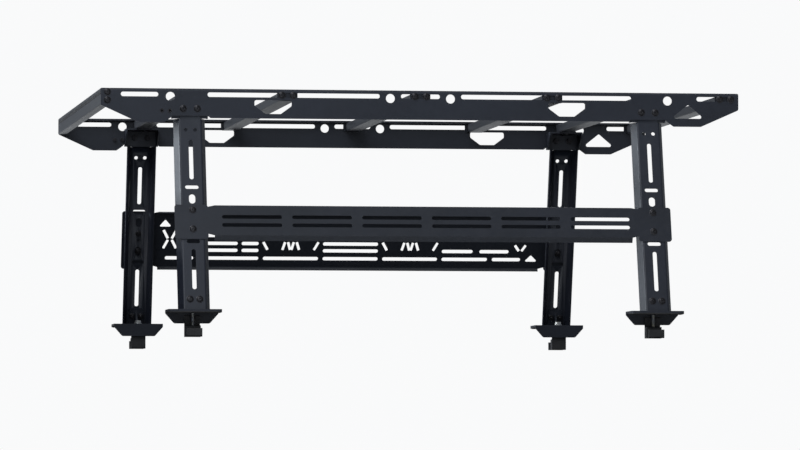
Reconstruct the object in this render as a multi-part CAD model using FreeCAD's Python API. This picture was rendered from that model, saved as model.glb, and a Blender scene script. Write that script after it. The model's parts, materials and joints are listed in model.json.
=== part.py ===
import FreeCAD, Part

import math
import os

# Pickup-bed ladder rack, in millimetres.
# X runs towards the tailgate, +Y to the passenger's side and Z up. The origin is midway between the
# four feet, in the plane of the truck's bed rails, which the rubber pads stand on.
# Everything on a side is drawn once for the driver's side (-Y) and mirrored for the passenger's side.

# ---- driving dimensions ----
RAIL_FRONT_X = -907.5
RAIL_REAR_X = 916.5
RAIL_TOP = 635.0
RAIL_INNER_Y = 717.0
RAIL_SHEET = 5.0
RAIL_DEPTH_MIDDLE = 83.0
RAIL_DEPTH_ENDS = 96.0
RAIL_FLANGE = 25.0
SLOT_DROP = 17.0
SLOT_HEIGHT = 13.0

TOWER_X = 655.0
TOWER_LEAN = 15.0
TOWER_SHEET = 4.0
TOWER_WEB = 64.0
TOWER_WIDTH = 91.0
TOWER_DEPTH = 34.0
TOWER_MIDDLE = 278.0

BAR_WIDTH = 45.0
BAR_HEIGHT = 25.0
BAR_DROP = 7.5
BAR_WALL = 2.5
MIDDLE_BAR_X = 379.0
END_BAR_X = 878.0

PANEL_SHEET = 3.0
PANEL_HALF = 706.0

PAD_THICK = 4.0
FOOT_PLATE = 6.0
CLAMP_X = 0.0
CLAMP_Y = -792.0
CLAMP_LOW = -66.0

BOLT_R = 4.0
CLEAR_R = 4.5
THREAD_GAP = 0.05
SLIDE_GAP = 0.3

# ---- derived places ----
RAIL_OUTER_Y = RAIL_INNER_Y + RAIL_SHEET
RAIL_BOTTOM = RAIL_TOP - RAIL_DEPTH_MIDDLE
RAIL_END_BOTTOM = RAIL_TOP - RAIL_DEPTH_ENDS
SLOT_Z = RAIL_TOP - SLOT_DROP
TOWER_BEND_Z = RAIL_BOTTOM - 2
LEAN = math.radians(TOWER_LEAN)
TOWER_BASE_Y = RAIL_INNER_Y + TOWER_BEND_Z * math.tan(LEAN)
BAR_TOP = RAIL_TOP - BAR_DROP
BAR_BOTTOM = BAR_TOP - BAR_HEIGHT
FOOT_BOTTOM = PAD_THICK
FOOT_TOP = PAD_THICK + FOOT_PLATE

V = FreeCAD.Vector
UP = V(0, 0, 1)
OUTBOARD = V(0, -1, 0)


# ---- drawing helpers ----
def rounded_wire(points, radius):
    """Closed outline through points, each corner an arc of its own radius (0 keeps it sharp)."""
    radii = radius if isinstance(radius, list) else [radius] * len(points)
    ends = []
    for i, corner in enumerate(points):
        to_last = (points[i - 1] - corner).normalize()
        to_next = (points[(i + 1) % len(points)] - corner).normalize()
        half_turn = to_last.getAngle(to_next) / 2
        if radii[i] == 0:
            ends.append((corner, None, corner))
            continue
        tangent = radii[i] / math.tan(half_turn)
        inward = (to_last + to_next).normalize()
        middle = corner + inward * (radii[i] / math.sin(half_turn) - radii[i])
        ends.append((corner + to_last * tangent, middle, corner + to_next * tangent))
    edges = []
    for i, (start, middle, end) in enumerate(ends):
        last = ends[i - 1][2]
        if (start - last).Length > 1e-4:
            edges.append(Part.LineSegment(last, start).toShape())
        if middle is not None:
            edges.append(Part.Arc(start, middle, end).toShape())
    return Part.Wire(edges)


def side_prism(outline, y_low, y_high, radius=0):
    """Prism between two Y planes, from an outline of (x, z) pairs."""
    wire = rounded_wire([V(x, y_low, z) for x, z in outline], radius)
    return Part.Face(wire).extrude(V(0, y_high - y_low, 0))


def length_prism(outline, x_low, x_high, radius=0):
    """Prism between two X planes, from a section of (y, z) pairs."""
    wire = rounded_wire([V(x_low, y, z) for y, z in outline], radius)
    return Part.Face(wire).extrude(V(x_high - x_low, 0, 0))


def flat_prism(outline, z_low, z_high, radius=0):
    """Prism between two Z planes, from an outline of (x, y) pairs."""
    wire = rounded_wire([V(x, y, z_low) for x, y in outline], radius)
    return Part.Face(wire).extrude(V(0, 0, z_high - z_low))


def rectangle(a_low, a_high, b_low, b_high):
    return [(a_low, b_low), (a_high, b_low), (a_high, b_high), (a_low, b_high)]


def block(x_low, x_high, y_low, y_high, z_low, z_high):
    return Part.makeBox(x_high - x_low, y_high - y_low, z_high - z_low, V(x_low, y_low, z_low))


def round_slot(x_low, x_high, z_low, z_high, y_low, y_high):
    """Cutter for a slot with fully round ends, through Y."""
    radius = min(x_high - x_low, z_high - z_low) / 2
    return side_prism(rectangle(x_low, x_high, z_low, z_high), y_low, y_high, radius)


def stroke(x_low, z_low, x_high, z_high, width, y_low, y_high):
    """Cutter for a slanted slot with square ends from one (x, z) to the other, through Y."""
    run = V(x_high - x_low, 0, z_high - z_low).normalize() * (width / 2)
    outline = [
        (x_low - run.z, z_low + run.x),
        (x_low + run.z, z_low - run.x),
        (x_high + run.z, z_high - run.x),
        (x_high - run.z, z_high + run.x),
    ]
    return side_prism(outline, y_low, y_high, width / 5)


def y_hole(x, z, radius, y_low, y_high):
    return Part.makeCylinder(radius, y_high - y_low, V(x, y_low, z), V(0, 1, 0))


def z_hole(x, y, radius, z_low, z_high):
    return Part.makeCylinder(radius, z_high - z_low, V(x, y, z_low), UP)


def joined(shapes):
    """One solid from several that overlap or share faces."""
    return shapes[0].fuse(shapes[1:]).removeSplitter()


def moved(shape, x=0, y=0, z=0):
    copy = shape.copy()
    copy.translate(V(x, y, z))
    return copy


def pointed(shape, place, direction):
    """Turns a part drawn along +Z so that +Z points along direction, and puts its origin at place."""
    copy = shape.copy()
    copy.Placement = FreeCAD.Placement(place, FreeCAD.Rotation(UP, direction))
    return copy


def mirrored(shape):
    return shape.mirror(V(0, 0, 0), V(0, 1, 0))


def leaned(shape):
    """From the flat drawing of a side, outer face at y = 0 and +y inboard, to its lean on the driver's side."""
    copy = shape.copy()
    copy.rotate(V(0, 0, 0), V(1, 0, 0), -TOWER_LEAN)
    copy.translate(V(0, -TOWER_BASE_Y, 0))
    return copy


def slope(height):
    """Distance along the leaning side for a height above the bed rail."""
    return height / math.cos(LEAN)


def revolved(profile):
    """Solid turned about Z from (radius, z) pairs."""
    wire = Part.makePolygon([V(r, 0, z) for r, z in profile + profile[:1]])
    return Part.Face(wire).revolve(V(0, 0, 0), UP, 360)


# ---- fasteners, drawn along Z with the head's bearing face at z = 0 ----
def hexagon(across_flats, z_low, z_high):
    radius = across_flats / math.sqrt(3)
    turns = [math.radians(60 * i) for i in range(6)]
    return flat_prism([(radius * math.cos(t), radius * math.sin(t)) for t in turns], z_low, z_high)


def button_bolt(length, radius=BOLT_R):
    """Flanged button-head screw with a hexagon socket."""
    head = 2.1 * radius
    flange = 2.5 * radius
    height = 1.15 * radius
    profile = [
        (0, -length), (radius - 0.8, -length), (radius, -length + 0.8), (radius, 0), (flange, 0),
        (flange, 1.0), (head, 1.6), (0.86 * head, 0.75 * height), (0.62 * head, height), (0, height),
    ]
    return revolved(profile).cut(hexagon(1.25 * radius, height - 2.2, height + 1))


def hex_bolt(length, radius, flats):
    """Flanged hexagon-head bolt."""
    flange = 0.66 * flats
    shank = revolved([
        (0, -length), (radius - 1, -length), (radius, -length + 1), (radius, 0), (flange, 0),
        (flange, 1.2), (0.5 * flats, 2.4), (0, 2.4),
    ])
    return joined([shank, hexagon(flats, 1.5, 8.5)])


def flange_nut(radius=BOLT_R, flats=13.0):
    """Flanged nut with its bearing face at z = 0 and its body towards +Z."""
    body = joined([revolved([(0, 0), (8.6, 0), (8.6, 1.2), (6.4, 2.2), (0, 2.2)]), hexagon(flats, 1.0, 8.0)])
    return body.cut(z_hole(0, 0, radius + THREAD_GAP, -1, 9))


# ---- side rails ----
RAIL_SLOTS = [(-851, -745), (-606, -116), (-56, 56), (116, 606), (795, 900)]
RAIL_HOLES_X = [-711, -86, 86, 711]
RAIL_HOLE_R = 13.0
RAIL_HOLE_Z = RAIL_TOP - 23
RAIL_BOLT_X = 20.0
RAIL_BOLT_Z = 578.0
FRONT_MEMBER_DEEP = 25.0
FRONT_MEMBER_TALL = 48.0
FRONT_SLOT_Z = RAIL_TOP - 13
FRONT_BOLTS = [(-889.0, 600.5), (-889.0, 623.5)]
INSERTS = [(-735.0, 572.0), (-713.0, 572.0)]
INSERT_R = 4.8


def rail_outline():
    """Side view: straight top, tapered ends, deeper end sections and a shallow relief over each tower."""
    relief = RAIL_BOTTOM + 6
    over_tower = [
        (729, RAIL_END_BOTTOM), (TOWER_X + 56, RAIL_BOTTOM), (TOWER_X + 50, relief), (TOWER_X - 50, relief),
        (TOWER_X - 58, RAIL_BOTTOM),
    ]
    rear = [(RAIL_REAR_X, RAIL_TOP), (RAIL_REAR_X, RAIL_TOP - 48), (808, RAIL_END_BOTTOM)]
    front = [(-801, RAIL_END_BOTTOM), (RAIL_FRONT_X, RAIL_TOP - 48), (RAIL_FRONT_X, RAIL_TOP)]
    return rear + over_tower + [(-x, z) for x, z in reversed(over_tower)] + front


def six_sided_hole(x, y_low, y_high):
    """Opening with upright sides above and slanting sides below, like a boat's hull."""
    outline = [(-53, 604), (53, 604), (53, 588), (22, 565), (-22, 565), (-53, 588)]
    return moved(side_prism(outline, y_low, y_high, 6), x)


def rail_cutters():
    low, high = -RAIL_OUTER_Y - 1, -RAIL_INNER_Y + 1
    cutters = [
        round_slot(a, b, SLOT_Z - SLOT_HEIGHT / 2, SLOT_Z + SLOT_HEIGHT / 2, low, high) for a, b in RAIL_SLOTS
    ]
    cutters += [y_hole(x, RAIL_HOLE_Z, RAIL_HOLE_R, low, high) for x in RAIL_HOLES_X]
    cutters += [six_sided_hole(x, low, high) for x in (-420, 420)]
    cutters.append(side_prism([(721, 562), (818, 562), (771, 602)], low, high, 5))
    for tower in (-TOWER_X, TOWER_X):
        cutters += [y_hole(tower + s * RAIL_BOLT_X, RAIL_BOLT_Z, CLEAR_R, low, high) for s in (-1, 1)]
    cutters += [y_hole(x, z, CLEAR_R, low, high) for x, z in FRONT_BOLTS]
    cutters += [y_hole(x, z, INSERT_R, low, high) for x, z in INSERTS]
    return cutters


def side_rail():
    """Laser-cut plate whose top edge is folded inboard, except over the front cross member."""
    out, inner, top = -RAIL_OUTER_Y, -RAIL_INNER_Y, RAIL_TOP
    section = [
        (out, RAIL_END_BOTTOM - 1), (out, top), (out + RAIL_FLANGE, top), (out + RAIL_FLANGE, top - RAIL_SHEET),
        (inner, top - RAIL_SHEET), (inner, RAIL_END_BOTTOM - 1),
    ]
    bar = length_prism(section, RAIL_FRONT_X - 1, RAIL_REAR_X + 1, [0, 7, 0, 0, 2, 0])
    outline = side_prism(rail_outline(), out - 1, out + RAIL_FLANGE + 1, [4, 6] + [4] * 12 + [6, 4])
    front_gap = block(
        RAIL_FRONT_X - 1, RAIL_FRONT_X + FRONT_MEMBER_DEEP + 2, inner, out + RAIL_FLANGE + 1, 500, top + 1
    )
    return bar.common(outline).cut([front_gap] + rail_cutters())


def rail_insert():
    """Closed threaded rivet insert, drawn along Z with its flange's bearing face at z = 0."""
    body = INSERT_R - THREAD_GAP
    return revolved([
        (0, -13), (5.6, -13), (5.6, -RAIL_SHEET), (body, -RAIL_SHEET), (body, 0), (6.2, 0), (6.2, 0.8),
        (3.4, 0.8), (3.4, -11), (0, -11),
    ])


# ---- towers ----
TOWER_PAIR_Z = 240.0
TOWER_PAIR_X = 13.5
PAIR_HOLE_R = 5.5
TONGUE_HALF = 28.0
TONGUE_TOP = 597.0


def tower_section():
    """Channel with splayed flanges, as (x, y) pairs: outer face at y = 0, opening towards +y."""
    splay = (TOWER_WIDTH - TOWER_WEB) / 2
    length = math.hypot(splay, TOWER_DEPTH)
    across, along = TOWER_DEPTH / length, splay / length
    inner_corner = TOWER_WEB / 2 - TOWER_SHEET * (1 - along) / across
    tip = (TOWER_WIDTH / 2, TOWER_DEPTH)
    inner_tip = (tip[0] - TOWER_SHEET * across, tip[1] + TOWER_SHEET * along)
    half = [(TOWER_WEB / 2, 0), tip, inner_tip, (inner_corner, TOWER_SHEET)]
    return [(-x, y) for x, y in reversed(half)] + half


def tower_cutters():
    """Openings of the web, the same above and below the middle of the tower."""
    low, high = -1, TOWER_SHEET + 1
    cutters = []
    for way in (-1, 1):
        long_a, long_b, short_a, short_b, cross, hole, pair = (
            slope(TOWER_MIDDLE + way * offset) for offset in (99, 212, 30, 57, 77, 11, TOWER_PAIR_Z)
        )
        cutters.append(round_slot(-6, 6, min(long_a, long_b), max(long_a, long_b), low, high))
        cutters.append(round_slot(-9, 9, min(short_a, short_b), max(short_a, short_b), low, high))
        cutters.append(round_slot(-19, 19, cross - 5.5, cross + 5.5, low, high))
        cutters.append(y_hole(0, hole, CLEAR_R, low, high))
        cutters += [y_hole(s * TOWER_PAIR_X, pair, PAIR_HOLE_R, low, high) for s in (-1, 1)]
    return cutters


def tower():
    """Folded channel from the foot plate to the rail, its web carried on upright as a tongue behind the rail."""
    section = tower_section()
    channel = flat_prism(section, -20, slope(RAIL_TOP), [0, 0, 2, 6, 6, 2, 0, 0][::-1])
    channel = leaned(channel.cut(tower_cutters()))
    keep = block(-80, 80, -900, -600, FOOT_TOP, TOWER_BEND_Z)
    channel = channel.common(keep)
    out, inner = -RAIL_INNER_Y, -RAIL_INNER_Y + TOWER_SHEET
    step = 8
    bend = [
        (out, TOWER_BEND_Z), (out, TONGUE_TOP), (inner, TONGUE_TOP), (inner, TOWER_BEND_Z),
        (inner - step * math.tan(LEAN), TOWER_BEND_Z - step), (out - step * math.tan(LEAN), TOWER_BEND_Z - step),
    ]
    tongue = length_prism(bend, -TONGUE_HALF + 4, TONGUE_HALF - 4)
    holes = [y_hole(s * RAIL_BOLT_X, RAIL_BOLT_Z, CLEAR_R, out - 1, inner + 1) for s in (-1, 1)]
    wide = length_prism(bend[:4], -TONGUE_HALF, TONGUE_HALF)
    return joined([channel, tongue, wide]).cut(holes)


HEAD_SHEET = 4.0
HEAD_HALF = 51.0
SHELF_INNER_Y = -640.0
SHELF_BOLTS_Y = [-690.0, -662.0]
SHELF_BOTTOM = BAR_BOTTOM - HEAD_SHEET


def tower_head():
    """Cap between tower, rail and crossbar: back plate on top of the tower's channel, shelf and two gussets."""
    back_out, back_in = -RAIL_INNER_Y + TOWER_SHEET, -RAIL_INNER_Y + TOWER_SHEET + HEAD_SHEET
    low = TOWER_BEND_Z + 0.5
    back = side_prism(rectangle(-HEAD_HALF, HEAD_HALF, low, BAR_BOTTOM), back_out, back_in)
    shelf = block(-HEAD_HALF, HEAD_HALF, back_out, SHELF_INNER_Y, SHELF_BOTTOM, BAR_BOTTOM)
    gusset = [
        (back_out, BAR_BOTTOM), (SHELF_INNER_Y, BAR_BOTTOM), (SHELF_INNER_Y, BAR_BOTTOM - 12), (-694, low), (back_out, low)
    ]
    rounding = [0, 0, 4, 8, 0]
    left = length_prism(gusset, -HEAD_HALF, -HEAD_HALF + HEAD_SHEET, rounding)
    right = length_prism(gusset, HEAD_HALF - HEAD_SHEET, HEAD_HALF, rounding)
    holes = [y_hole(s * RAIL_BOLT_X, RAIL_BOLT_Z, CLEAR_R, back_out - 1, back_in + 1) for s in (-1, 1)]
    holes += [z_hole(0, y, CLEAR_R, SHELF_BOTTOM - 1, BAR_BOTTOM + 1) for y in SHELF_BOLTS_Y]
    return joined([back, shelf, left, right]).cut(holes)


# ---- feet and bed-rail clamps ----
FOOT_OUTER_Y = -872.0
FOOT_INNER_Y = -770.0
FOOT_HALF = 75.0
FOOT_HOLE_X = 58.0
FOOT_HOLE_Y = -840.0
FOOT_HOLE_R = 5.5
FOOT_BOLT_Z = TOWER_MIDDLE - TOWER_PAIR_Z
PAD_INNER_Y = -816.0
CLAMP_BOLT_R = 5.0
CLAMP_HOLE_R = 5.5
WASHER_THICK = 2.0


def foot():
    """Base plate with its inboard edge folded down, and an upright plate inside the tower's channel."""
    plate = flat_prism(
        rectangle(-FOOT_HALF, FOOT_HALF, FOOT_OUTER_Y, FOOT_INNER_Y), FOOT_BOTTOM, FOOT_TOP, [9, 9, 0, 0]
    )
    fold = side_prism(
        [(-FOOT_HALF, FOOT_TOP), (FOOT_HALF, FOOT_TOP), (FOOT_HALF, 0), (50, -28), (-50, -28), (-FOOT_HALF, 0)],
        FOOT_INNER_Y - FOOT_PLATE, FOOT_INNER_Y, [0, 0, 6, 8, 8, 6],
    )
    upright_high = slope(FOOT_BOLT_Z + 24)
    upright = leaned(side_prism(rectangle(-22, 22, -20, upright_high), TOWER_SHEET, TOWER_SHEET + 6, [0, 0, 8, 8]))
    rib_y = TOWER_SHEET + 6 - 1
    rib = leaned(length_prism([(rib_y, -20), (rib_y, upright_high - 6), (rib_y + 40, 0), (rib_y + 40, -20)], -2.5, 2.5))
    above_plate = block(-FOOT_HALF, FOOT_HALF, -900, FOOT_INNER_Y, FOOT_TOP - 1, 200)
    holes = [z_hole(s * FOOT_HOLE_X, FOOT_HOLE_Y, FOOT_HOLE_R, -1, FOOT_TOP + 1) for s in (-1, 1)]
    holes.append(z_hole(CLAMP_X, CLAMP_Y, CLAMP_HOLE_R, -1, FOOT_TOP + 1))
    holes += [
        leaned(y_hole(s * TOWER_PAIR_X, slope(FOOT_BOLT_Z), CLEAR_R, 0, 20)) for s in (-1, 1)
    ]
    return joined([plate, fold, upright.common(above_plate), rib.common(above_plate)]).cut(holes)


def foot_pad():
    """Rubber sheet between the base plate and the truck's bed rail."""
    sheet = flat_prism(rectangle(-FOOT_HALF, FOOT_HALF, FOOT_OUTER_Y, PAD_INNER_Y), 0, PAD_THICK, [9, 9, 4, 4])
    return sheet.cut([z_hole(s * FOOT_HOLE_X, FOOT_HOLE_Y, FOOT_HOLE_R, -1, PAD_THICK + 1) for s in (-1, 1)])


def clamp_washer():
    ring = z_hole(CLAMP_X, CLAMP_Y, 12, FOOT_TOP, FOOT_TOP + WASHER_THICK)
    return ring.cut(z_hole(CLAMP_X, CLAMP_Y, CLAMP_HOLE_R, 0, 20))


def clamp_bolt():
    """Long bolt whose head turns on the base plate's washer and whose thread lifts the jaw."""
    seat = FOOT_TOP + WASHER_THICK + SLIDE_GAP
    return moved(hex_bolt(seat - CLAMP_LOW - 1, CLAMP_BOLT_R, 16), CLAMP_X, CLAMP_Y, seat)


def clamp_jaw():
    """Hook under the bed rail's inner lip: arm, gripping tooth, threaded hub and a heel guided by the foot."""
    guide = FOOT_INNER_Y - FOOT_PLATE - SLIDE_GAP
    section = [
        (CLAMP_Y - 54, CLAMP_LOW), (CLAMP_Y - 54, -42), (CLAMP_Y - 40, -42), (CLAMP_Y - 38, -52),
        (CLAMP_Y - 16, -52), (CLAMP_Y - 14, -34),
        (guide - 6, -34), (guide - 6, -6), (guide, -6), (guide, CLAMP_LOW),
    ]
    jaw = length_prism(section, -22, 22, [4, 3, 3, 3, 4, 4, 2, 2, 2, 3])
    waist = [(30, CLAMP_Y - 8), (14, CLAMP_Y - 16), (14, CLAMP_Y - 40), (30, CLAMP_Y - 48)]
    relief = [flat_prism([(s * x, y) for x, y in waist], CLAMP_LOW - 1, -30) for s in (-1, 1)]
    return jaw.cut(relief + [z_hole(CLAMP_X, CLAMP_Y, CLAMP_BOLT_R + 0.08, CLAMP_LOW - 1, -30)])


# ---- crossbars ----
PORT_X = 16.25
PORT_Z = SLOT_Z - BAR_BOTTOM
GROOVE_HALF = 5.5
GROOVE_LIP = 3.0
CAVITY_HALF = 10.0
CAVITY_DEPTH = 6.0


def bar_profile_cutters(y_low, y_high):
    """Hollows of the extrusion: top T-slot, middle chamber, two side chambers around screw ports, and the ports."""
    lip = BAR_HEIGHT - GROOVE_LIP
    floor = lip - CAVITY_DEPTH
    chambers = [
        side_prism(rectangle(-GROOVE_HALF, GROOVE_HALF, lip - 1, BAR_HEIGHT + 1), y_low, y_high),
        side_prism(rectangle(-CAVITY_HALF, CAVITY_HALF, floor, lip), y_low, y_high, 1),
        side_prism(rectangle(-CAVITY_HALF, CAVITY_HALF, BAR_WALL, floor - BAR_WALL), y_low, y_high, 1),
    ]
    for side in (-1, 1):
        edges = sorted((side * (CAVITY_HALF + BAR_WALL), side * (BAR_WIDTH / 2 - BAR_WALL)))
        chamber = side_prism(rectangle(*edges, BAR_WALL, BAR_HEIGHT - BAR_WALL), y_low, y_high, 1)
        boss = y_hole(side * PORT_X, PORT_Z, 5.6, y_low - 1, y_high + 1)
        chambers.append(chamber.cut(boss))
        chambers.append(y_hole(side * PORT_X, PORT_Z, BOLT_R + THREAD_GAP, y_low, y_high))
    return chambers


def crossbar(half_length):
    """Extruded bar with its underside at BAR_BOTTOM, centred on X = 0."""
    outline = rectangle(-BAR_WIDTH / 2, BAR_WIDTH / 2, 0, BAR_HEIGHT)
    bar = side_prism(outline, -half_length, half_length, 3)
    return moved(bar.cut(bar_profile_cutters(-half_length - 1, half_length + 1)), z=BAR_BOTTOM)


def strip_outline(groove_half, lip):
    """Section of a rubber strip that fills a T-slot: foot under the lips, crown just proud of them."""
    edge, foot_half, foot_top = groove_half - 0.2, groove_half + 3, -lip - 0.1
    return [
        (-foot_half, foot_top - 1.3), (foot_half, foot_top - 1.3), (foot_half, foot_top), (edge, foot_top),
        (edge, 0.8), (-edge, 0.8), (-edge, foot_top), (-foot_half, foot_top),
    ]


def crossbar_strip(half_length):
    strip = side_prism(strip_outline(GROOVE_HALF, GROOVE_LIP), -half_length, half_length, [0, 0, 0, 0, 1.5, 1.5, 0, 0])
    return moved(strip, z=BAR_TOP)


def end_plates():
    """Plate at each end of a sliding crossbar, bearing on the rail's inner face beside the slot."""
    inner = RAIL_INNER_Y - SLIDE_GAP
    outline = rectangle(-29, 29, BAR_BOTTOM + 0.5, BAR_TOP + 1.5)
    plate = side_prism(outline, -inner, -inner + RAIL_SHEET, 5)
    plate = plate.cut([y_hole(s * PORT_X, SLOT_Z, CLEAR_R, -inner - 1, -inner + RAIL_SHEET + 1) for s in (-1, 1)])
    return [plate, mirrored(plate)]


def slide_bolts():
    """Two bolts at each end, through the rail's slot and the end plate into the bar's screw ports."""
    head = -RAIL_OUTER_Y - SLIDE_GAP
    one_side = [pointed(button_bolt(36), V(s * PORT_X, head, SLOT_Z), OUTBOARD) for s in (-1, 1)]
    return one_side + [mirrored(bolt) for bolt in one_side]


def front_cross_member():
    """Tall extrusion between the rails' front ends, with a T-slot along its front face."""
    front, back = RAIL_FRONT_X, RAIL_FRONT_X + FRONT_MEMBER_DEEP
    half = RAIL_INNER_Y - 0.1
    low, top = RAIL_TOP - FRONT_MEMBER_TALL, RAIL_TOP
    wall = BAR_WALL
    bar = side_prism(rectangle(front, back, low, top), -half, half, 3)
    shelf = FRONT_SLOT_Z - 8 - wall
    chambers = [
        (front + wall, back - wall, low + wall, shelf), (front + 12, back - wall, shelf + wall, top - wall)
    ]
    bosses = [y_hole(x, z, 5.6, -half - 2, half + 2) for x, z in FRONT_BOLTS]
    cutters = [side_prism(rectangle(*c), -half - 1, half + 1, 1).cut(bosses) for c in chambers]
    cutters += [y_hole(x, z, BOLT_R + THREAD_GAP, -half - 1, half + 1) for x, z in FRONT_BOLTS]
    cutters.append(block(front - 1, front + 4, -half - 1, half + 1, FRONT_SLOT_Z - 5, FRONT_SLOT_Z + 5))
    cutters.append(block(front + 3, front + 9, -half - 1, half + 1, FRONT_SLOT_Z - 8, FRONT_SLOT_Z + 8))
    return bar.cut(cutters)


def front_strip():
    """Rubber strip in the front cross member's T-slot."""
    half = RAIL_INNER_Y - 3
    outline = [(RAIL_FRONT_X - z, FRONT_SLOT_Z + x) for x, z in strip_outline(5, 3)]
    return side_prism(outline, -half, half, [0, 0, 0, 0, 1.5, 1.5, 0, 0])


def nut_plate():
    """Tapped plate inside a tower crossbar's middle chamber, above the head bracket's shelf."""
    floor = BAR_BOTTOM + BAR_WALL
    plate = flat_prism(rectangle(-9, 9, -706, -646), floor, floor + 6, 2)
    return plate.cut([z_hole(0, y, BOLT_R + THREAD_GAP, floor - 1, floor + 7) for y in SHELF_BOLTS_Y])


# ---- side panels, drawn flat with the tower's outer face at y = 0 and their own outer face at y = -sheet ----
PANEL_BOLT_Z = [235.0, 289.0]
LIP_HALF = 594.0
LEFT_PANEL = {"low": 207.0, "fold": 218.0, "high": 304.0}
RIGHT_PANEL = {"low": 180.0, "fold": 186.0, "high": 355.0}


def panel_blank(low, fold, high):
    """Plate over both towers; between them its top edge is folded inboard and its foot is bent inboard."""
    low, fold, high = slope(low), slope(fold), slope(high)
    sheet, reach = PANEL_SHEET, LIP_HALF + 38
    ends = []
    for side in (-1, 1):
        x_low, x_high = sorted((side * (LIP_HALF + 18), side * PANEL_HALF))
        ends.append(side_prism(rectangle(x_low, x_high, low, high), -sheet, 0, 8))
    middle = [
        (-LIP_HALF, fold), (LIP_HALF, fold), (reach, fold + 10), (reach, high - 10),
        (LIP_HALF, high - 2), (-LIP_HALF, high - 2), (-reach, high - 10), (-reach, fold + 10),
    ]
    bend = math.radians(40)
    drop = (fold - low) / math.cos(bend) + 2
    foot_y, foot_z = drop * math.sin(bend), drop * math.cos(bend)
    inward = sheet * math.tan(bend / 2)
    section = [
        (-sheet, fold), (-sheet, high), (16, high), (16, high - sheet), (0, high - sheet), (0, fold + inward),
        (foot_y + sheet * math.cos(bend) - sheet, fold - foot_z + sheet * math.sin(bend)),
        (foot_y - sheet, fold - foot_z),
    ]
    lips = length_prism(section, -LIP_HALF, LIP_HALF, [8, 6, 0, 0, 3, 5, 0, 0])
    return joined([side_prism(middle, -sheet, 0), lips] + ends)


def panel_bolt_holes():
    return [
        y_hole(tower, slope(z), CLEAR_R, -PANEL_SHEET - 1, 1)
        for tower in (-TOWER_X, TOWER_X) for z in PANEL_BOLT_Z
    ]


def slot_row(height, first, length, pitch, count, tall=11.0):
    """Cutters for a row of equal long slots."""
    z = slope(height)
    return [
        round_slot(first + i * pitch, first + i * pitch + length, z - tall / 2, z + tall / 2, -PANEL_SHEET - 1, 1)
        for i in range(count)
    ]


def left_panel():
    """Short panel with two rows of six long slots."""
    cutters = panel_bolt_holes()
    for height in (247, 270):
        cutters += slot_row(height, -573, 170, 198, 6)
    return leaned(panel_blank(**LEFT_PANEL).cut(cutters))


def panel_strokes(centre, low, high, lines):
    """Cutters for slanted cut-outs between two heights; each line is its offset from centre below and above."""
    z0, z1 = slope(low), slope(high)
    return [stroke(centre + a, z0, centre + b, z1, 8, -PANEL_SHEET - 1, 1) for a, b in lines]


def panel_slots(height, spans):
    """Cutters for slots of the same height with their own ends."""
    return [cutter for a, b in spans for cutter in slot_row(height, a, b - a, 0, 1)]


def panel_gable(centre, half, low, high):
    outline = [(centre - half, slope(low)), (centre + half, slope(low)), (centre, slope(high))]
    return side_prism(outline, -PANEL_SHEET - 1, 1, 3)


TRUSS = [(-72, -86), (-26, -18), (-2, -9), (2, 9), (26, 18), (72, 86)]


def right_panel():
    """Tall panel: rows of slots in five cells, two of them with a truss, and cut-outs of its own at each end."""
    first, length, pitch = -453, 172, 186
    cutters = panel_bolt_holes()
    cutters += slot_row(214, first, length, pitch, 4) + panel_slots(214, [(-571, -483), (291, 434), (449, 538)])
    for height in (238, 259):
        cutters += panel_slots(height, [(-453, -346), (-334, -281), (-81, 91)])
    cutters += panel_slots(238, [(291, 388), (409, 501)])
    for cell in (1, 3):
        cutters += panel_strokes(first + cell * pitch + length / 2, 240, 264, TRUSS)
    for height in (283, 300, 326):
        cutters += slot_row(height, first, length, pitch, 5)
    cutters += panel_strokes(-557, 243, 269, [(-20, -6), (20, 6)]) + panel_strokes(-557, 273, 299, [(-6, -20), (6, 20)])
    cutters += panel_strokes(537, 240, 258, [(-4, -17), (4, 17)])
    cutters += [panel_gable(-572, 20, 309, 331), panel_gable(571, 21, 208, 228)]
    return mirrored(leaned(panel_blank(**RIGHT_PANEL).cut(cutters)))


# ---- fastener groups ----
def both_sides(shape):
    return [shape, mirrored(shape)]


def at_towers(left_shapes):
    """Repeats parts drawn at X = 0 on the driver's side at all four towers."""
    found = []
    for tower in (-TOWER_X, TOWER_X):
        for shape in left_shapes:
            found += both_sides(moved(shape, tower))
    return found


def rail_bolts():
    return [pointed(button_bolt(24), V(s * RAIL_BOLT_X, -RAIL_OUTER_Y, RAIL_BOLT_Z), OUTBOARD) for s in (-1, 1)]


def rail_nuts():
    seat = -RAIL_INNER_Y + TOWER_SHEET + HEAD_SHEET
    return [pointed(flange_nut(), V(s * RAIL_BOLT_X, seat, RAIL_BOLT_Z), V(0, 1, 0)) for s in (-1, 1)]


def foot_bolts():
    return [
        leaned(pointed(button_bolt(20), V(s * TOWER_PAIR_X, 0, slope(FOOT_BOLT_Z)), OUTBOARD)) for s in (-1, 1)
    ]


def foot_nuts():
    seat = TOWER_SHEET + 6
    return [
        leaned(pointed(flange_nut(), V(s * TOWER_PAIR_X, seat, slope(FOOT_BOLT_Z)), V(0, 1, 0))) for s in (-1, 1)
    ]


def panel_bolts():
    return [leaned(pointed(button_bolt(17), V(0, -PANEL_SHEET, slope(z)), OUTBOARD)) for z in PANEL_BOLT_Z]


def panel_nuts():
    return [leaned(pointed(flange_nut(), V(0, TOWER_SHEET, slope(z)), V(0, 1, 0))) for z in PANEL_BOLT_Z]


def shelf_bolts():
    return [pointed(button_bolt(15), V(0, y, SHELF_BOTTOM), V(0, 0, -1)) for y in SHELF_BOLTS_Y]


def front_bolts():
    return [pointed(button_bolt(32), V(x, -RAIL_OUTER_Y, z), OUTBOARD) for x, z in FRONT_BOLTS]


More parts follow.
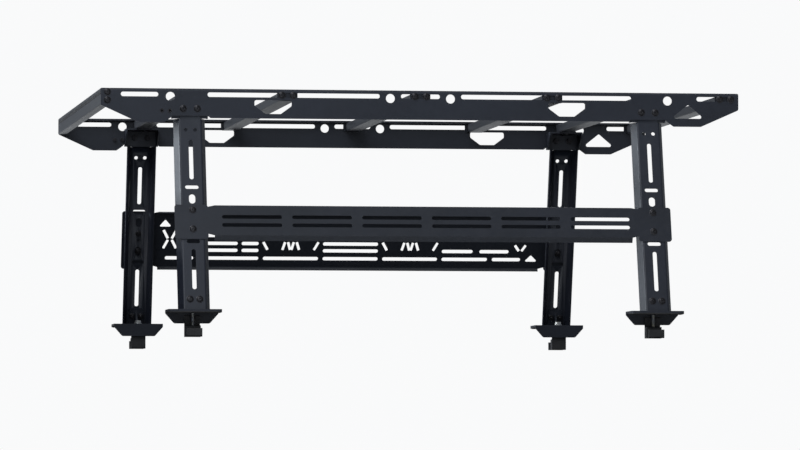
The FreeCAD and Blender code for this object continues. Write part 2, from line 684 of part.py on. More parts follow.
# ---- assembly ----
def side_parts():
    """Parts that stand on both sides, keyed by node name."""
    nodes = {"side_rail_left": [side_rail()], "side_rail_right": [mirrored(side_rail())]}
    makers = {
        "tower": tower, "tower_head": tower_head, "foot": foot, "foot_pad": foot_pad,
        "clamp_jaw": clamp_jaw, "clamp_bolt": clamp_bolt,
    }
    for name, make in makers.items():
        shape = make()
        for end, x in (("front", -TOWER_X), ("rear", TOWER_X)):
            nodes[f"{name}_{end}_left"] = [moved(shape, x)]
            nodes[f"{name}_{end}_right"] = [mirrored(moved(shape, x))]
    nodes["side_panel_left"] = [left_panel()]
    nodes["side_panel_right"] = [right_panel()]
    return nodes


def crossing_parts():
    """Bars across the rack: two fixed over the towers, four that slide in the rails, and the front member."""
    fixed_half = RAIL_INNER_Y - 1
    sliding_half = RAIL_INNER_Y - SLIDE_GAP - RAIL_SHEET
    shelf_holes = [
        z_hole(0, s * y, CLEAR_R, BAR_BOTTOM - 1, BAR_BOTTOM + BAR_WALL + 1) for y in SHELF_BOLTS_Y for s in (-1, 1)
    ]
    fixed, sliding = crossbar(fixed_half).cut(shelf_holes), crossbar(sliding_half)
    nodes = {"front_cross_member": [front_cross_member()], "front_member_strip": [front_strip()]}
    for name, x in (("front_tower", -TOWER_X), ("rear_tower", TOWER_X)):
        nodes[f"crossbar_{name}"] = [moved(fixed, x)]
    strip = crossbar_strip(fixed_half - 3)
    nodes["tower_crossbar_strips"] = [moved(strip, -TOWER_X), moved(strip, TOWER_X)]
    places = (("front_middle", -MIDDLE_BAR_X), ("centre", 0), ("rear_middle", MIDDLE_BAR_X), ("rear_end", END_BAR_X))
    for name, x in places:
        nodes[f"crossbar_{name}"] = [moved(sliding, x)]
        nodes[f"end_plates_{name}"] = [moved(plate, x) for plate in end_plates()]
        nodes[f"strip_{name}"] = [moved(crossbar_strip(sliding_half - 3), x)]
        nodes[f"slide_bolts_{name}"] = [moved(bolt, x) for bolt in slide_bolts()]
    return nodes


def fasteners():
    """Fixed bolts, nuts, washers, tapped plates and inserts, one node for each kind."""
    return {
        "rail_to_tower_bolts": at_towers(rail_bolts()),
        "foot_bolts": at_towers(foot_bolts()),
        "panel_bolts": at_towers(panel_bolts()),
        "crossbar_shelf_bolts": at_towers(shelf_bolts()),
        "front_member_bolts": [shape for bolt in front_bolts() for shape in both_sides(bolt)],
        "flange_nuts": at_towers(rail_nuts() + foot_nuts() + panel_nuts()),
        "crossbar_nut_plates": at_towers([nut_plate()]),
        "clamp_washers": at_towers([clamp_washer()]),
        "rail_inserts": [
            shape for x, z in INSERTS
            for shape in both_sides(pointed(rail_insert(), V(x, -RAIL_OUTER_Y, z), OUTBOARD))
        ],
    }


def export(name, shapes):
    solids = [solid for shape in shapes for solid in shape.Solids]
    bad = [solid for solid in solids if not solid.isValid() or solid.Volume <= 0]
    if bad or not solids:
        print("check", name, "solids", len(solids), "not valid", len(bad))
    body = solids[0] if len(solids) == 1 else Part.makeCompound(solids)
    body.exportStep(os.path.join("parts", name + ".step"))


def main():
    os.makedirs("parts", exist_ok=True)
    nodes = {**side_parts(), **crossing_parts(), **fasteners()}
    for name, shapes in nodes.items():
        export(name, shapes)
    print("nodes", len(nodes))


main()
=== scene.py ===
"""Looks of the pickup-bed ladder rack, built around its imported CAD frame. Metres, in the part's own frame."""

import json
import math

import bpy
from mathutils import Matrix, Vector

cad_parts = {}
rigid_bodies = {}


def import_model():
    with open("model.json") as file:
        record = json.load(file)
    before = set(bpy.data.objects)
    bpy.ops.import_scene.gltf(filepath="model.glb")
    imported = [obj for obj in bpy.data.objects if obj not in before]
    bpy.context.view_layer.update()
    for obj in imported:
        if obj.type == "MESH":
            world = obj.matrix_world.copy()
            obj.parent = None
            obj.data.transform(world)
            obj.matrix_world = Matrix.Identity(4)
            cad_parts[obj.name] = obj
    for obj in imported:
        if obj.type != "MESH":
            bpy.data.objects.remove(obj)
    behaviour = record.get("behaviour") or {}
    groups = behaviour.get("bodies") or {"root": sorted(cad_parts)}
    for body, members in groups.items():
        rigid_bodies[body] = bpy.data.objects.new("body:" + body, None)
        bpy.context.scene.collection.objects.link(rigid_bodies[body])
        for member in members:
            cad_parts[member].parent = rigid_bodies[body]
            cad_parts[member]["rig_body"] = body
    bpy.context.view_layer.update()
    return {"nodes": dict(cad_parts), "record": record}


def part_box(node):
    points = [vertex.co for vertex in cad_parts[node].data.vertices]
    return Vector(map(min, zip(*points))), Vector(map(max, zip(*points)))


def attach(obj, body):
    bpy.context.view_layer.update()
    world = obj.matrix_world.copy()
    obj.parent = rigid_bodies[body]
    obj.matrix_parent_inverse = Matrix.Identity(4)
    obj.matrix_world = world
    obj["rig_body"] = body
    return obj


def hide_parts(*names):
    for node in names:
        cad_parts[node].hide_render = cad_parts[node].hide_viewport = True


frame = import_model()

NODES = frame["nodes"]
SIDES = (("left", -1), ("right", 1))
ENDS = (("front", -1), ("rear", 1))
TOWER_X = 0.655
LEAN = math.radians(15)
TOWER_BASE_Y = 0.717 + 0.550 * math.tan(LEAN)


# ---- node helpers ----
def new_material(name):
    """Material with a Principled shader; returns (material, tree, shader)."""
    material = bpy.data.materials.new(name)
    material.use_nodes = True
    tree = material.node_tree
    return material, tree, tree.nodes["Principled BSDF"]


def add_node(tree, kind, **settings):
    """New node; settings are its properties, and keys that start with in_ are input values by name."""
    node = tree.nodes.new(kind)
    for key, value in settings.items():
        if key.startswith("in_"):
            node.inputs[key[3:].replace("_", " ")].default_value = value
        else:
            setattr(node, key, value)
    return node


def coordinates(tree, scale=(1, 1, 1)):
    """The part's own coordinates in metres, stretched by scale."""
    source = add_node(tree, "ShaderNodeTexCoord")
    mapping = add_node(tree, "ShaderNodeMapping")
    mapping.inputs["Scale"].default_value = scale
    tree.links.new(source.outputs["Object"], mapping.inputs["Vector"])
    return mapping.outputs["Vector"]


def noise(tree, vector, scale, detail=3.0, rough=0.55):
    node = add_node(tree, "ShaderNodeTexNoise", in_Scale=scale, in_Detail=detail, in_Roughness=rough)
    tree.links.new(vector, node.inputs["Vector"])
    return node.outputs["Fac"]


def remap(tree, value, low, high, to_low, to_high):
    node = add_node(tree, "ShaderNodeMapRange")
    for socket, number in zip(("From Min", "From Max", "To Min", "To Max"), (low, high, to_low, to_high)):
        node.inputs[socket].default_value = number
    tree.links.new(value, node.inputs["Value"])
    return node.outputs["Result"]


def mix_colour(tree, factor, a, b):
    """Mixes two colours, each a tuple or a socket."""
    node = add_node(tree, "ShaderNodeMix", data_type="RGBA")
    tree.links.new(factor, node.inputs["Factor"])
    for socket, colour in ((node.inputs[6], a), (node.inputs[7], b)):
        if isinstance(colour, tuple):
            socket.default_value = (*colour, 1)
        else:
            tree.links.new(colour, socket)
    return node.outputs[2]


def combine(tree, operation, a, b):
    """Math node on two sockets or numbers."""
    node = add_node(tree, "ShaderNodeMath", operation=operation)
    for socket, value in zip(node.inputs, (a, b)):
        if isinstance(value, (int, float)):
            socket.default_value = value
        else:
            tree.links.new(value, socket)
    return node.outputs[0]


def bump(tree, shader, height, strength, distance, below=None):
    node = add_node(tree, "ShaderNodeBump", in_Strength=strength, in_Distance=distance)
    tree.links.new(height, node.inputs["Height"])
    if below is not None:
        tree.links.new(below, node.inputs["Normal"])
    tree.links.new(node.outputs["Normal"], shader.inputs["Normal"])
    return node.outputs["Normal"]


def edge_mask(tree, radius):
    """1 on a sharp outer or inner edge and 0 on a flat face."""
    rounded = add_node(tree, "ShaderNodeBevel", samples=4, in_Radius=radius)
    flat = add_node(tree, "ShaderNodeNewGeometry")
    dot = add_node(tree, "ShaderNodeVectorMath", operation="DOT_PRODUCT")
    tree.links.new(rounded.outputs["Normal"], dot.inputs[0])
    tree.links.new(flat.outputs["Normal"], dot.inputs[1])
    return remap(tree, dot.outputs["Value"], 0.99, 0.86, 0.0, 1.0)


# ---- materials ----
def coated_steel(name, dark, light, texture_scale):
    """Satin black powder coat: fine grain, cloudy roughness, light scuffs and slightly rubbed edges."""
    material, tree, shader = new_material(name)
    place = coordinates(tree)
    cloud = noise(tree, place, 5.0, 4.0)
    mottle = noise(tree, place, 70.0, 3.0)
    grain = noise(tree, place, texture_scale, 2.0, 0.6)
    scuffs = noise(tree, coordinates(tree, (9, 60, 60)), 6.0, 5.0, 0.7)
    scuff_mask = remap(tree, scuffs, 0.62, 0.72, 0.0, 1.0)
    edges = combine(tree, "MULTIPLY", edge_mask(tree, 0.0012), remap(tree, mottle, 0.35, 0.7, 0.15, 1.0))
    body = mix_colour(tree, remap(tree, cloud, 0.3, 0.7, 0.0, 1.0), dark, light)
    worn = mix_colour(tree, combine(tree, "MULTIPLY", edges, 0.55), body, (0.085, 0.09, 0.10))
    dusty = mix_colour(tree, combine(tree, "MULTIPLY", scuff_mask, 0.18), worn, (0.10, 0.10, 0.105))
    tree.links.new(dusty, shader.inputs["Base Color"])
    rough = combine(
        tree, "ADD", remap(tree, mottle, 0.3, 0.7, 0.40, 0.50), combine(tree, "MULTIPLY", scuff_mask, 0.10)
    )
    rubbed = combine(tree, "SUBTRACT", rough, combine(tree, "MULTIPLY", edges, 0.10))
    tree.links.new(rubbed, shader.inputs["Roughness"])
    peel = bump(tree, shader, mottle, 0.05, 0.001)
    bump(tree, shader, grain, 0.22, 0.0003, peel)
    return material


def coated_extrusion(name, along):
    """Black anodised extrusion: die lines along its length, satin sheen, faint handling marks."""
    material, tree, shader = new_material(name)
    stretch = [900.0, 900.0, 900.0]
    stretch[along] = 3.0
    lines = noise(tree, coordinates(tree, tuple(stretch)), 1.0, 3.0, 0.6)
    place = coordinates(tree)
    cloud = noise(tree, place, 9.0, 4.0)
    marks = remap(tree, noise(tree, place, 38.0, 6.0, 0.75), 0.64, 0.74, 0.0, 1.0)
    tone = remap(tree, cloud, 0.3, 0.7, 0.0, 1.0)
    body = mix_colour(tree, tone, (0.017, 0.019, 0.025), (0.027, 0.030, 0.038))
    streaked = mix_colour(tree, remap(tree, lines, 0.35, 0.75, 0.0, 0.35), body, (0.050, 0.053, 0.060))
    edges = combine(tree, "MULTIPLY", edge_mask(tree, 0.0008), 0.4)
    tree.links.new(mix_colour(tree, edges, streaked, (0.13, 0.135, 0.14)), shader.inputs["Base Color"])
    shader.inputs["Metallic"].default_value = 0.35
    brushed = remap(tree, lines, 0.3, 0.7, 0.33, 0.43)
    rough = combine(tree, "ADD", brushed, combine(tree, "MULTIPLY", marks, 0.12))
    tree.links.new(rough, shader.inputs["Roughness"])
    bump(tree, shader, lines, 0.12, 0.0002)
    return material


def cast_iron(name):
    """E-coated casting: pebbled skin with small pits and brighter rubbed corners."""
    material, tree, shader = new_material(name)
    place = coordinates(tree)
    pebbles = noise(tree, place, 420.0, 4.0, 0.65)
    pits = add_node(tree, "ShaderNodeTexVoronoi", in_Scale=260.0)
    tree.links.new(place, pits.inputs["Vector"])
    pit_mask = remap(tree, pits.outputs["Distance"], 0.05, 0.22, 0.0, 1.0)
    tone = remap(tree, noise(tree, place, 30.0), 0.3, 0.7, 0.0, 1.0)
    body = mix_colour(tree, tone, (0.018, 0.018, 0.019), (0.034, 0.034, 0.036))
    edges = combine(tree, "MULTIPLY", edge_mask(tree, 0.0015), 0.5)
    tree.links.new(mix_colour(tree, edges, body, (0.11, 0.11, 0.11)), shader.inputs["Base Color"])
    tree.links.new(remap(tree, pebbles, 0.3, 0.7, 0.50, 0.66), shader.inputs["Roughness"])
    coarse = bump(tree, shader, pebbles, 0.45, 0.0008)
    bump(tree, shader, pit_mask, 0.15, 0.0004, coarse)
    return material


def black_oxide(name):
    """Black-oxide bolts: dark metal with oily sheen and brighter rubbed corners."""
    material, tree, shader = new_material(name)
    place = coordinates(tree)
    film = noise(tree, place, 180.0, 3.0)
    tone = remap(tree, film, 0.3, 0.7, 0.0, 1.0)
    body = mix_colour(tree, tone, (0.022, 0.022, 0.026), (0.050, 0.048, 0.052))
    edges = combine(tree, "MULTIPLY", edge_mask(tree, 0.0006), 0.65)
    tree.links.new(mix_colour(tree, edges, body, (0.22, 0.22, 0.23)), shader.inputs["Base Color"])
    shader.inputs["Metallic"].default_value = 0.8
    tree.links.new(remap(tree, film, 0.3, 0.7, 0.30, 0.46), shader.inputs["Roughness"])
    bump(tree, shader, noise(tree, place, 1400.0, 2.0), 0.10, 0.0002)
    return material


def zinc_plate(name):
    """Bright zinc plate with a faint bluish-yellow passivation and tiny scratches."""
    material, tree, shader = new_material(name)
    place = coordinates(tree)
    tint = noise(tree, place, 55.0, 4.0)
    scratches = noise(tree, coordinates(tree, (60, 60, 900)), 4.0, 5.0, 0.7)
    cool = mix_colour(tree, remap(tree, tint, 0.35, 0.65, 0.0, 1.0), (0.58, 0.61, 0.66), (0.66, 0.64, 0.56))
    scratched = mix_colour(tree, remap(tree, scratches, 0.6, 0.75, 0.0, 0.5), cool, (0.38, 0.39, 0.41))
    tree.links.new(scratched, shader.inputs["Base Color"])
    shader.inputs["Metallic"].default_value = 1.0
    tree.links.new(remap(tree, scratches, 0.3, 0.75, 0.24, 0.46), shader.inputs["Roughness"])
    bump(tree, shader, scratches, 0.08, 0.0002)
    return material


def black_rubber(name):
    """Matte rubber: fine grain and grey bloom in patches."""
    material, tree, shader = new_material(name)
    place = coordinates(tree)
    grain = noise(tree, place, 1600.0, 3.0, 0.7)
    bloom = noise(tree, place, 26.0, 5.0, 0.65)
    tone = remap(tree, bloom, 0.35, 0.75, 0.0, 1.0)
    body = mix_colour(tree, tone, (0.012, 0.012, 0.013), (0.034, 0.034, 0.036))
    tree.links.new(body, shader.inputs["Base Color"])
    tree.links.new(remap(tree, bloom, 0.3, 0.7, 0.70, 0.86), shader.inputs["Roughness"])
    bump(tree, shader, grain, 0.30, 0.0004)
    return material


def pale_floor(name):
    material, tree, shader = new_material(name)
    place = coordinates(tree)
    tone = remap(tree, noise(tree, place, 0.6, 3.0), 0.3, 0.7, 0.0, 1.0)
    grey = mix_colour(tree, tone, (0.80, 0.80, 0.80), (0.84, 0.84, 0.84))
    tree.links.new(grey, shader.inputs["Base Color"])
    shader.inputs["Roughness"].default_value = 0.9
    return material


def make_materials():
    return {
        # The blue cast in both powder coat colours is a painted reflection of the cool sky; the coat itself is
        # black.
        "powder_coat": coated_steel(
            "satin_powder_coat", (0.012, 0.015, 0.024), (0.018, 0.022, 0.034), 1100.0
        ),
        "panel_coat": coated_steel("satin_panel_coat", (0.010, 0.013, 0.020), (0.015, 0.018, 0.028), 1300.0),
        "black_aluminium": coated_extrusion("black_extrusion", 1),
        "cast_black": cast_iron("black_casting"),
        "black_fastener": black_oxide("black_oxide_steel"),
        "zinc_steel": zinc_plate("zinc_plated_steel"),
        "rubber": black_rubber("ribbed_rubber"),
    }


# ---- mesh helpers ----
def piece(name, verts, faces, body, slot, smooth_angle=35):
    """Mesh object on a body with the slot's material; flat and smooth faces are parted by angle."""
    mesh = bpy.data.meshes.new(name)
    mesh.from_pydata([tuple(v) for v in verts], [], faces)
    mesh.validate()
    mesh.update()
    for polygon in mesh.polygons:
        polygon.use_smooth = True
    mesh.set_sharp_from_angle(angle=math.radians(smooth_angle))
    mesh.materials.append(MATERIALS[slot])
    obj = bpy.data.objects.new(name, mesh)
    bpy.context.scene.collection.objects.link(obj)
    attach(obj, body)
    return obj


def body_of(node):
    return NODES[node]["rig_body"]


def loft(rings, closed_ends=True):
    """Faces of a skin over equal rings, as (verts, faces)."""
    verts, faces = [], []
    count = len(rings[0])
    for ring in rings:
        verts += ring
    for i in range(len(rings) - 1):
        for j in range(count):
            k = (j + 1) % count
            faces.append((i * count + j, i * count + k, (i + 1) * count + k, (i + 1) * count + j))
    if closed_ends:
        faces.append(tuple(reversed(range(count))))
        faces.append(tuple(range(len(verts) - count, len(verts))))
    return verts, faces


def merged(parts):
    """One (verts, faces) from several."""
    verts, faces = [], []
    for part_verts, part_faces in parts:
        start = len(verts)
        verts += part_verts
        faces += [tuple(i + start for i in face) for face in part_faces]
    return verts, faces


def facing_out(part):
    """Turns all faces of a closed (verts, faces) the other way if it encloses a negative volume."""
    verts, faces = part
    volume = 0.0
    for face in faces:
        a = Vector(verts[face[0]])
        for i in range(1, len(face) - 1):
            volume += a.dot(Vector(verts[face[i]]).cross(Vector(verts[face[i + 1]])))
    if volume < 0:
        faces = [tuple(reversed(face)) for face in faces]
    return verts, faces


# ---- rubber ----
def ribbed_section(groove_half, lip, ribs=5):
    """Section of a T-slot strip as (across, proud): foot under the lips, neck, crown with ribs."""
    edge, foot_half = groove_half - 0.0002, groove_half + 0.003
    foot_top = -lip - 0.0001
    foot_low = foot_top - 0.0013
    outline = [(-foot_half, foot_low), (foot_half, foot_low), (foot_half, foot_top), (edge, foot_top)]
    outline.append((edge, -0.0004))
    crown = []
    pitch = 2 * edge / ribs
    for i in range(ribs):
        left = -edge + i * pitch
        rise = 0.0008 - 0.0003 * abs(i - (ribs - 1) / 2) / ((ribs - 1) / 2)
        crown += [
            (left + 0.08 * pitch, rise - 0.0007), (left + 0.22 * pitch, rise - 0.0001),
            (left + 0.34 * pitch, rise),
            (left + 0.66 * pitch, rise),
            (left + 0.78 * pitch, rise - 0.0001), (left + 0.92 * pitch, rise - 0.0007),
        ]
    outline += reversed(crown)
    outline += [(-edge, -0.0004), (-edge, foot_top), (-foot_half, foot_top)]
    return outline


def ribbed_strip(name, node, places, half, slot_section):
    """Strips along Y at places; each place turns (across, proud) into (x, z)."""
    steps = 24
    parts = []
    for place in places:
        rings = []
        for i in range(steps + 1):
            y = -half + 2 * half * i / steps
            ease = 0.00025 if i in (0, steps) else 0.0
            rings.append([(place(a, p - ease)[0], y, place(a, p - ease)[1]) for a, p in slot_section])
        parts.append(facing_out(loft(rings)))
    verts, faces = merged(parts)
    strip = piece(name, verts, faces, body_of(node), "rubber", 50)
    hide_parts(node)


def crossbar_strips():
    section = ribbed_section(0.0055, 0.003)
    for name in ("front_middle", "centre", "rear_middle", "rear_end"):
        node = f"strip_{name}"
        low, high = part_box(node)
        middle, crown = (low.x + high.x) / 2, high.z - 0.0008
        ribbed_strip(f"ribbed_{node}", node, [lambda a, p: (middle + a, crown + p)], high.y, section)
    low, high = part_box("tower_crossbar_strips")
    crown = high.z - 0.0008
    places = [lambda a, p: (-TOWER_X + a, crown + p), lambda a, p: (TOWER_X + a, crown + p)]
    ribbed_strip("ribbed_tower_crossbar_strips", "tower_crossbar_strips", places, high.y, section)


def front_strip():
    section = ribbed_section(0.005, 0.003)
    low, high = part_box("front_member_strip")
    front, middle = low.x + 0.0008, (low.z + high.z) / 2
    ribbed_strip(
        "ribbed_front_member_strip", "front_member_strip",
        [lambda a, p: (front - p, middle + a)], high.y, section
    )


def circle(x, y, radius, count=32):
    turns = [2 * math.pi * i / count for i in range(count)]
    return [(x + radius * math.cos(turn), y + radius * math.sin(turn)) for turn in turns]


def pad_outline(x_low, x_high, y_low, y_high, radii):
    """Rounded rectangle; radii go round from the low corner, counter-clockwise."""
    corners = [(x_low, y_low, 1, 1), (x_high, y_low, -1, 1), (x_high, y_high, -1, -1), (x_low, y_high, 1, -1)]
    points = []
    for (x, y, to_x, to_y), radius, start in zip(corners, radii, (180, 270, 0, 90)):
        for i in range(9):
            turn = math.radians(start + 90 * i / 8)
            across = x + to_x * radius + radius * math.cos(turn)
            along = y + to_y * radius + radius * math.sin(turn)
            points.append((across, along))
    return points


def plate_with_holes(loops, z_low, z_high):
    """(verts, faces) of a flat plate from closed loops of (x, y): its outline, then its holes."""
    curve = bpy.data.curves.new("loops", "CURVE")
    curve.dimensions = "2D"
    curve.fill_mode = "BOTH"
    curve.extrude = (z_high - z_low) / 2
    for loop in loops:
        spline = curve.splines.new("POLY")
        spline.points.add(len(loop) - 1)
        for point, (x, y) in zip(spline.points, loop):
            point.co = (x, y, 0, 1)
        spline.use_cyclic_u = True
    holder = bpy.data.objects.new("loops", curve)
    mesh = bpy.data.meshes.new_from_object(holder)
    middle = (z_low + z_high) / 2
    raw = [(round(v.co.x, 7), round(v.co.y, 7), round(v.co.z + middle, 7)) for v in mesh.vertices]
    index = {}
    for v in raw:
        index.setdefault(v, len(index))
    faces = [tuple(index[raw[i]] for i in polygon.vertices) for polygon in mesh.polygons]
    faces = [face for face in faces if len(set(face)) == len(face)]
    bpy.data.objects.remove(holder)
    bpy.data.curves.remove(curve)
    bpy.data.meshes.remove(mesh)
    return facing_out((list(index), faces))


def bar_box(x_low, x_high, y_low, y_high, z_low, z_high, ease):
    """Long rib with a narrower lower face, as (verts, faces)."""
    def ring_at(inset, z):
        left, right, near, far = x_low + inset, x_high - inset, y_low + inset, y_high - inset
        return [(left, near, z), (right, near, z), (right, far, z), (left, far, z)]

    return facing_out(loft([ring_at(ease, z_low), ring_at(0, z_high)]))


def foot_pads():
    """Moulded pads: a sheet with rounded corners and bolt holes, and treads underneath that stop short of the
    bolt holes.
    """
    hole_x, hole_y, hole_r = 0.058, 0.840, 0.0055
    tread_high, rib, gap = 0.0012, 0.0026, 0.0018
    for end, _ in ENDS:
        for side, y_side in SIDES:
            node = f"foot_pad_{end}_{side}"
            low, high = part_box(node)
            centre = (low.x + high.x) / 2
            radii = [0.009, 0.009, 0.004, 0.004] if y_side < 0 else [0.004, 0.004, 0.009, 0.009]
            holes = [circle(centre + s * hole_x, y_side * hole_y, hole_r) for s in (-1, 1)]
            rim = pad_outline(low.x, high.x, low.y, high.y, radii)
            sheet = plate_with_holes([rim] + holes, tread_high, high.z)
            parts = [sheet]
            y = low.y + 0.0035
            while y + rib < high.y - 0.002:
                inset = 0.009 if min(y - low.y, high.y - y - rib) < 0.009 else 0.003
                first, last = low.x + inset, high.x - inset
                spans = [(first, last)]
                if abs(y + rib / 2 - y_side * hole_y) < hole_r + 0.0035:
                    keep, out = hole_x - 0.0095, hole_x + 0.0095
                    spans = [(first, centre - out), (centre - keep, centre + keep), (centre + out, last)]
                for a, b in spans:
                    if b - a > 0.004:
                        parts.append(bar_box(a, b, y, y + rib, low.z, tread_high + 0.0001, 0.0004))
                y += rib + gap
            verts, faces = merged(parts)
            pad = piece(f"treaded_{node}", verts, faces, body_of(node), "rubber")
            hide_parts(node)


# ---- threaded clamp bolts ----
def hex_radius(turn, flats):
    """Distance from the centre of a hexagon to its side at an angle."""
    sector = (turn % (math.pi / 3)) - math.pi / 6
    return flats / 2 / math.cos(sector)


def ring(centre, radii, z):
    """Ring about an upright axis; radii has one value a point, and z is a number or one value a point."""
    count = len(radii)
    heights = z if isinstance(z, list) else [z] * count
    turns = [2 * math.pi * i / count for i in range(count)]
    return [
        (centre.x + r * math.cos(turn), centre.y + r * math.sin(turn), h)
        for r, turn, h in zip(radii, turns, heights)
    ]


def clamp_bolt_rings(centre, low, high):
    """Rings from the tip to the top of a flanged hexagon bolt with a rolled 1.5 mm thread."""
    count, pitch, major, minor = 48, 0.0015, 0.005, 0.00408
    flats, flange, seat = 0.016, 0.01056, high - 0.0085
    turns = [2 * math.pi * i / count for i in range(count)]
    thread_top = seat - 0.012
    step = pitch / 8
    rings = [ring(centre, [0.0002] * count, low), ring(centre, [minor - 0.0003] * count, low)]
    levels = int((thread_top - low - 0.0006) / step)
    for level in range(levels + 1):
        z = low + 0.0006 + level * step
        radii = []
        for turn in turns:
            phase = ((z - low) / pitch - turn / (2 * math.pi)) % 1.0
            crest = max(0.0, 1.0 - abs(phase - 0.5) * 2.3)
            runout = min(1.0, (thread_top - z) / (2 * pitch), (z - low) / (0.8 * pitch))
            radii.append(minor + (major - minor) * min(1.0, crest * 1.12) * max(0.0, runout))
        rings.append(ring(centre, radii, z))
    rings.append(ring(centre, [0.0047] * count, thread_top + 0.0006))
    rings.append(ring(centre, [0.0047] * count, seat - 0.0004))
    rings.append(ring(centre, [0.0052] * count, seat))
    rings.append(ring(centre, [flange - 0.0003] * count, seat))
    rings.append(ring(centre, [flange] * count, seat + 0.0003))
    rings.append(ring(centre, [flange] * count, seat + 0.0010))
    hexagon = [hex_radius(turn, flats) for turn in turns]
    rings.append(ring(centre, [max(flange - 0.0006, h) for h in hexagon], seat + 0.0013))
    rings.append(ring(centre, hexagon, seat + 0.0019))
    cone = 0.0078
    shoulder = [high - max(0.0, r - cone) * 0.58 - 0.0002 for r in hexagon]
    rings.append(ring(centre, hexagon, shoulder))
    rings.append(ring(centre, [cone - 0.0002] * count, high))
    rings.append(ring(centre, [0.0050] * count, high))
    rings.append(ring(centre, [0.0044] * count, high - 0.0004))
    rings.append(ring(centre, [0.0002] * count, high - 0.0004))
    return rings


def clamp_bolts():
    for end, _ in ENDS:
        for side, _ in SIDES:
            node = f"clamp_bolt_{end}_{side}"
            low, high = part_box(node)
            verts, faces = facing_out(loft(clamp_bolt_rings((low + high) / 2, low.z, high.z)))
            bolt = piece(f"threaded_{node}", verts, faces, body_of(node), "zinc_steel", 38)
            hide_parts(node)


# ---- weld beads ----
def bead(start, end, towards, radius=0.0026):
    """Rippled fillet bead from start to end; towards is the free side, away from both welded faces."""
    start, end, towards = Vector(start), Vector(end), Vector(towards).normalized()
    along = (end - start).normalized()
    across = along.cross(towards).normalized()
    length = (end - start).length
    ripple, count = 0.0021, 10
    steps = max(6, int(length / ripple * 6))
    rings = []
    for i in range(steps + 1):
        s = length * i / steps
        wave = abs(math.sin(math.pi * s / ripple))
        taper = min(1.0, (s + 0.0006) / 0.003, (length - s + 0.0006) / 0.003)
        r = radius * (0.82 + 0.18 * wave) * max(0.25, taper)
        points = []
        for j in range(count):
            turn = 2 * math.pi * j / count
            lean = 0.0007 * math.cos(turn) * (1 - wave)
            offset = across * (r * 1.05 * math.sin(turn)) + towards * (r * math.cos(turn) * 0.85)
            offset = offset + along * lean
            points.append(tuple(start + along * s + offset))
        rings.append(points)
    return facing_out(loft(rings))


def leaned(x, out, along):
    """Point of the driver's side given in the flat drawing of a tower: out is inboard of its outer face."""
    y = out * math.cos(LEAN) + along * math.sin(LEAN)
    z = -out * math.sin(LEAN) + along * math.cos(LEAN)
    return (x, -TOWER_BASE_Y + y, z)


def head_beads(tower):
    """Beads in the inner corners of a driver's side tower head."""
    back, shelf = -0.709, 0.5985
    parts = []
    for s in (-1, 1):
        x = tower + s * 0.047
        parts.append(bead((x, back, 0.554), (x, back, shelf - 0.001), (-s, 1, 0)))
        parts.append(bead((x, back + 0.004, shelf), (x, -0.643, shelf), (-s, 0, -1)))
    parts.append(bead((tower - 0.030, back, shelf), (tower + 0.030, back, shelf), (0, 1, -1), 0.0022))
    return parts


def foot_beads(tower):
    """Beads of a driver's side foot: behind its upright plate and beside its rib."""
    z = 0.010
    thick = 0.010
    y = leaned(0, thick, z / math.cos(LEAN))[1]
    parts = []
    for s in (-1, 1):
        inner, outer, side = tower + s * 0.0045, tower + s * 0.0205, tower + s * 0.0025
        parts.append(bead((inner, y + 0.0004, z), (outer, y + 0.0004, z), (0, 1, 1)))
        parts.append(bead((side, y + 0.003, z), (side, y + 0.037, z), (s, 0, 1), 0.0022))
        low = leaned(side, thick, 0.016)
        high = leaned(side, thick, 0.052)
        parts.append(bead(low, high, (s, 1, 0), 0.0020))
    return parts


def mirror_part(part):
    verts, faces = part
    return facing_out(([(x, -y, z) for x, y, z in verts], faces))


def weld_beads():
    for end, x_side in ENDS:
        for kind, make in (("head", head_beads), ("foot", foot_beads)):
            for side, y_side in SIDES:
                parts = make(x_side * TOWER_X)
                if y_side > 0:
                    parts = [mirror_part(part) for part in parts]
                verts, faces = merged(parts)
                piece(f"weld_beads_{kind}_{end}_{side}", verts, faces, "rack_frame", "powder_coat", 60)


# ---- carried-over CAD nodes ----
def edge_width(node):
    if "bolt" in node or "nut" in node or "insert" in node or "washer" in node:
        return 0.00025
    if node.startswith("clamp_jaw"):
        return 0.0009
    return 0.0005


def dress_nodes():
    """Gives every shown CAD node its material, softly broken edges and even shading."""
    slots = {row["node"]: row["material_slot"] for row in frame["record"]["subparts"]}
    for name, obj in NODES.items():
        mesh = obj.data
        mesh.materials.clear()
        mesh.materials.append(MATERIALS[slots[name]])
        for polygon in mesh.polygons:
            polygon.use_smooth = True
        weld = obj.modifiers.new("weld", "WELD")
        weld.merge_threshold = 0.000002
        edges = obj.modifiers.new("edges", "BEVEL")
        edges.width = edge_width(name)
        edges.segments = 2
        edges.limit_method = "ANGLE"
        edges.angle_limit = math.radians(40)
        edges.use_clamp_overlap = True
        edges.miter_outer = "MITER_ARC"
        even = obj.modifiers.new("even", "WEIGHTED_NORMAL")
        even.weight = 80
        even.keep_sharp = False


# ---- stage ----
def floor():
    """Pale floor at the height of the ground under the truck."""
    size, z = 90.0, -1.42
    mesh = bpy.data.meshes.new("floor")
    corners = [(-size, -size, z), (size, -size, z), (size, size, z), (-size, size, z)]
    mesh.from_pydata(corners, [], [(0, 1, 2, 3)])
    obj = bpy.data.objects.new("floor", mesh)
    obj.data.materials.append(pale_floor("pale_floor"))
    bpy.context.scene.collection.objects.link(obj)


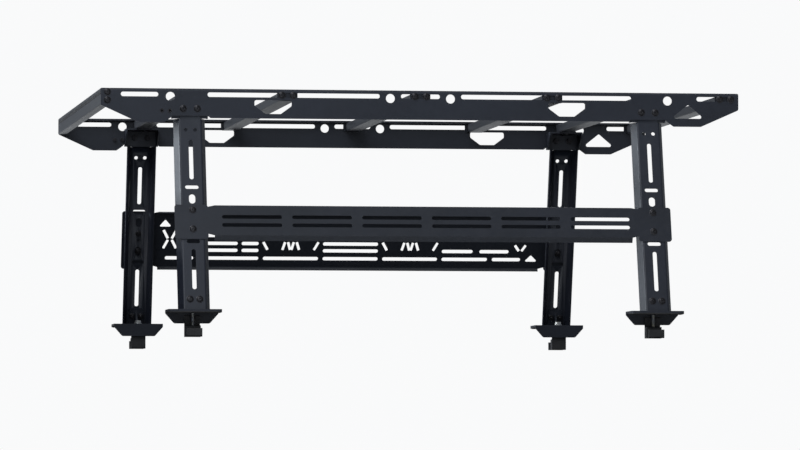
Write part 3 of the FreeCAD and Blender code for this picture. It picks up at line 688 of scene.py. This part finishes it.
def flag(name, corners):
    """Dark card that takes light away from one side, as the truck's cab and bed do; not seen itself."""
    mesh = bpy.data.meshes.new(name)
    mesh.from_pydata(corners, [], [(0, 1, 2, 3)])
    material, tree, shader = new_material(name)
    tone = remap(tree, noise(tree, coordinates(tree), 3.0), 0.3, 0.7, 0.0, 1.0)
    dark = mix_colour(tree, tone, (0.010, 0.012, 0.016), (0.018, 0.020, 0.024))
    tree.links.new(dark, shader.inputs["Base Color"])
    shader.inputs["Roughness"].default_value = 0.8
    mesh.materials.append(material)
    obj = bpy.data.objects.new(name, mesh)
    obj.visible_camera = False
    bpy.context.scene.collection.objects.link(obj)
    return obj


def flags():
    """Upright card ahead of the lower half, and a level one under the feet that dims the floor's glow."""
    flag("front_flag", [(-1.25, -1.1, -0.8), (-1.25, 1.1, -0.8), (-1.25, 1.1, 0.47), (-1.25, -1.1, 0.47)])
    under = flag("bed_flag", [(-1.3, -1.0, -0.11), (1.3, -1.0, -0.11), (1.3, 1.0, -0.11), (-1.3, 1.0, -0.11)])
    under.visible_shadow = False


def area_light(name, place, target, size, energy, colour=(1, 1, 1)):
    light = bpy.data.lights.new(name, "AREA")
    light.shape = "RECTANGLE"
    light.size, light.size_y = size
    light.energy = energy
    light.color = colour
    obj = bpy.data.objects.new(name, light)
    obj.location = place
    obj.rotation_euler = (Vector(target) - Vector(place)).to_track_quat("-Z", "Y").to_euler()
    bpy.context.scene.collection.objects.link(obj)


def lights():
    centre = (0, 0, 0.35)
    sun = bpy.data.lights.new("sky_key", "SUN")
    sun.energy = 1.5
    sun.angle = math.radians(35)
    sun.color = (0.96, 0.98, 1.0)
    key = bpy.data.objects.new("sky_key", sun)
    key.rotation_euler = Vector((0.35, 0.45, -0.82)).to_track_quat("-Z", "Y").to_euler()
    bpy.context.scene.collection.objects.link(key)
    area_light("left_softbox", (-2.0, -4.6, 2.2), (0, -0.7, 0.35), (3.0, 1.6), 34, (0.84, 0.92, 1.0))
    area_light("front_card", (-6.5, 2.0, 2.6), (-0.6, -0.7, 0.5), (1.6, 1.8), 460, (0.86, 0.93, 1.0))
    area_light("back_softbox", (3.0, 7.5, 4.0), centre, (4.0, 3.0), 120, (0.94, 0.97, 1.0))


def world():
    """Dim cool light from all round, with a pale backdrop where the camera looks past the part."""
    sky = bpy.data.worlds.new("studio")
    bpy.context.scene.world = sky
    sky.use_nodes = True
    tree = sky.node_tree
    dim = tree.nodes["Background"]
    dim.inputs["Color"].default_value = (0.86, 0.92, 1.0, 1)
    dim.inputs["Strength"].default_value = 0.20
    pale = add_node(tree, "ShaderNodeBackground", in_Color=(0.95, 0.955, 0.96, 1), in_Strength=1.0)
    rays = add_node(tree, "ShaderNodeLightPath")
    mix = add_node(tree, "ShaderNodeMixShader")
    tree.links.new(rays.outputs["Is Camera Ray"], mix.inputs["Fac"])
    tree.links.new(dim.outputs["Background"], mix.inputs[1])
    tree.links.new(pale.outputs["Background"], mix.inputs[2])
    tree.links.new(mix.outputs["Shader"], tree.nodes["World Output"].inputs["Surface"])


def camera():
    """Where the photographer stood: beside the truck, ahead of the rack's middle and below the bed rail."""
    data = bpy.data.cameras.new("camera")
    data.sensor_width = 36.0
    data.lens = 255.0
    data.clip_end = 400.0
    obj = bpy.data.objects.new("camera", data)
    place, target = Vector((-2.335, -16.56, -0.429)), Vector((0.045, 0.0, 0.285))
    obj.location = place
    obj.rotation_euler = (target - place).to_track_quat("-Z", "Y").to_euler()
    bpy.context.scene.collection.objects.link(obj)
    bpy.context.scene.camera = obj


MATERIALS = make_materials()
dress_nodes()
crossbar_strips()
front_strip()
foot_pads()
clamp_bolts()
weld_beads()
floor()
flags()
lights()
world()
camera()
bpy.context.scene.view_settings.view_transform = "Standard"
